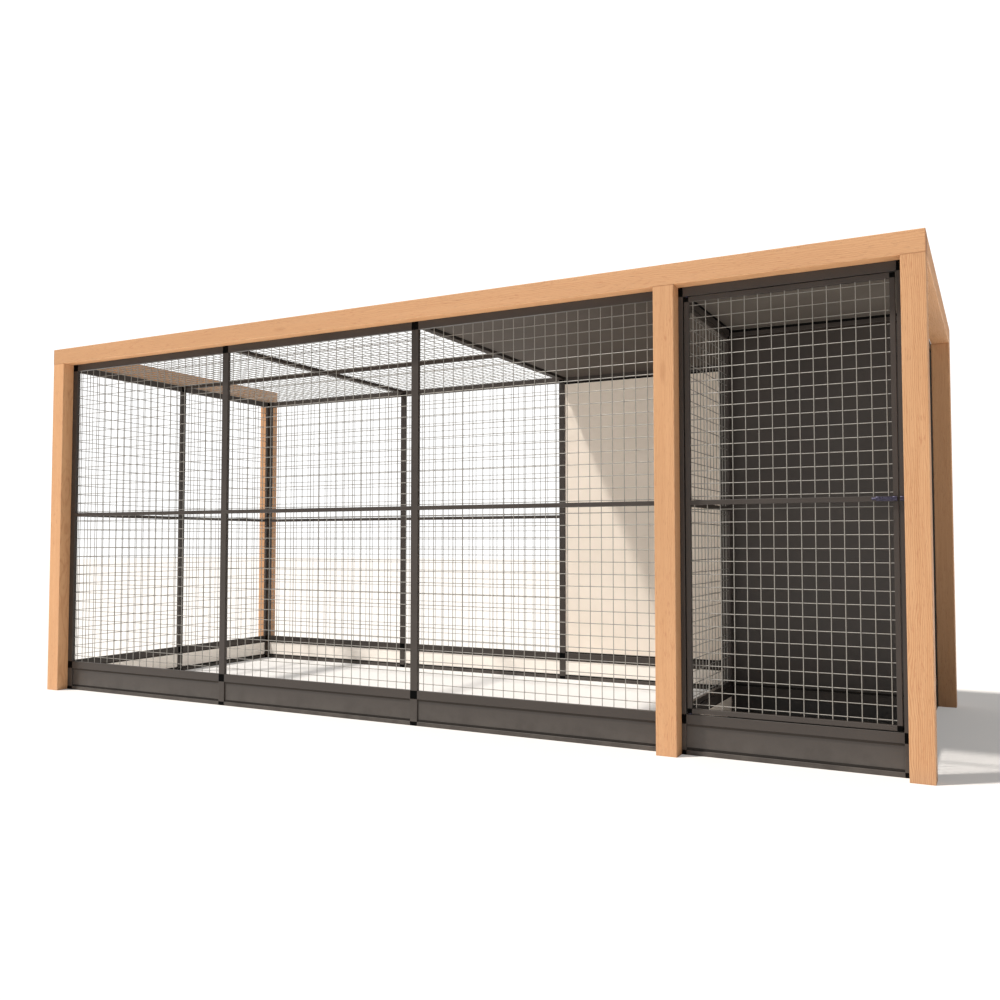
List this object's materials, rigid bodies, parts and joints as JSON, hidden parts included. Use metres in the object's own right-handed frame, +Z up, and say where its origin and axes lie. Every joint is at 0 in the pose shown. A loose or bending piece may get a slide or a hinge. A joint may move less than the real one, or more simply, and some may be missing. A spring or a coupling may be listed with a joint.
{
  "type": "cat run",
  "caption": "Walk-in cat run: timber posts and beams around dark tube panels of welded mesh, a solid sheltered end, and an entry porch with an outer and an inner door.",
  "frame": {"origin": "middle of the footprint, on the ground", "axes": "+Z up, +X along the front from the left post to the porch, +Y from the front to the back"},
  "size_m": [4.876, 1.93, 2.06],
  "materials": {
    "timber": "planed softwood, oiled, satin, grain along each length",
    "tube": "anthracite powder coat, fine texture, matt",
    "connector": "moulded black plastic",
    "wire": "galvanised welded wire",
    "plinth_panel": "smooth board, anthracite outside, cream inside",
    "wall_panel": "smooth board, anthracite outside, cream inside",
    "roof_panel": "smooth board, anthracite",
    "gasket": "black rubber channel, dull",
    "zinc": "zinc plated, dull"
  },
  "bodies": {
    "frame": {"post_front_left": "timber", "post_front_middle": "timber", "post_front_right": "timber", "post_back_left": "timber", "post_back_right": "timber", "beam_front": "timber", "beam_left": "timber", "beam_right": "timber", "beam_dowels": "timber", "beam_screws": "zinc", "door_pivot_pins": "zinc", "bolt_keepers": "zinc", "front_uprights": "tube", "front_rails": "tube", "front_connectors": "connector", "front_plinths": "plinth_panel", "left_uprights": "tube", "left_rails": "tube", "left_connectors": "connector", "left_plinths": "plinth_panel", "right_uprights": "tube", "right_rails": "tube", "right_connectors": "connector", "right_plinths": "plinth_panel", "back_uprights": "tube", "back_rails": "tube", "back_connectors": "connector", "back_plinths": "plinth_panel", "porch_uprights": "tube", "porch_rails": "tube", "porch_connectors": "connector", "porch_plinths": "plinth_panel", "doorway_uprights": "tube", "doorway_rails": "tube", "doorway_connectors": "connector", "doorway_plinths": "plinth_panel", "front_mesh_1": "wire", "front_mesh_2": "wire", "front_mesh_3": "wire", "left_mesh": "wire", "right_mesh": "wire", "back_mesh": "wire", "roof_mesh": "wire", "right_panels": "wall_panel", "back_panels": "wall_panel", "porch_panels": "wall_panel", "roof_panels": "roof_panel", "panel_gaskets": "gasket", "roof_bars": "tube"},
    "front_door": {"front_door_frame": "tube", "front_door_corners": "connector", "front_door_mesh": "wire", "front_door_bolt_body": "zinc"},
    "front_bolt": {"front_door_bolt": "zinc"},
    "inner_door": {"inner_door_frame": "tube", "inner_door_corners": "connector", "inner_door_mesh": "wire", "inner_door_bolt_body": "zinc"},
    "inner_bolt": {"inner_door_bolt": "zinc"}
  },
  "joints": [
    {"name": "front_door_hinge", "type": "hinge", "parent": "frame", "child": "front_door", "pos_m": [1.501, -0.885, 0.173], "axis": [0, 0, -1], "range_deg": [0, 100]},
    {"name": "front_bolt_slide", "type": "slide", "parent": "front_door", "child": "front_bolt", "axis": [1, 0, 0], "range_m": [0, 0.026]},
    {"name": "inner_door_hinge", "type": "hinge", "parent": "frame", "child": "inner_door", "pos_m": [1.456, -0.045, 0.173], "axis": [0, 0, -1], "range_deg": [0, 90]},
    {"name": "inner_bolt_slide", "type": "slide", "parent": "inner_door", "child": "inner_bolt", "axis": [0, -1, 0], "range_m": [0, 0.026]}
  ]
}
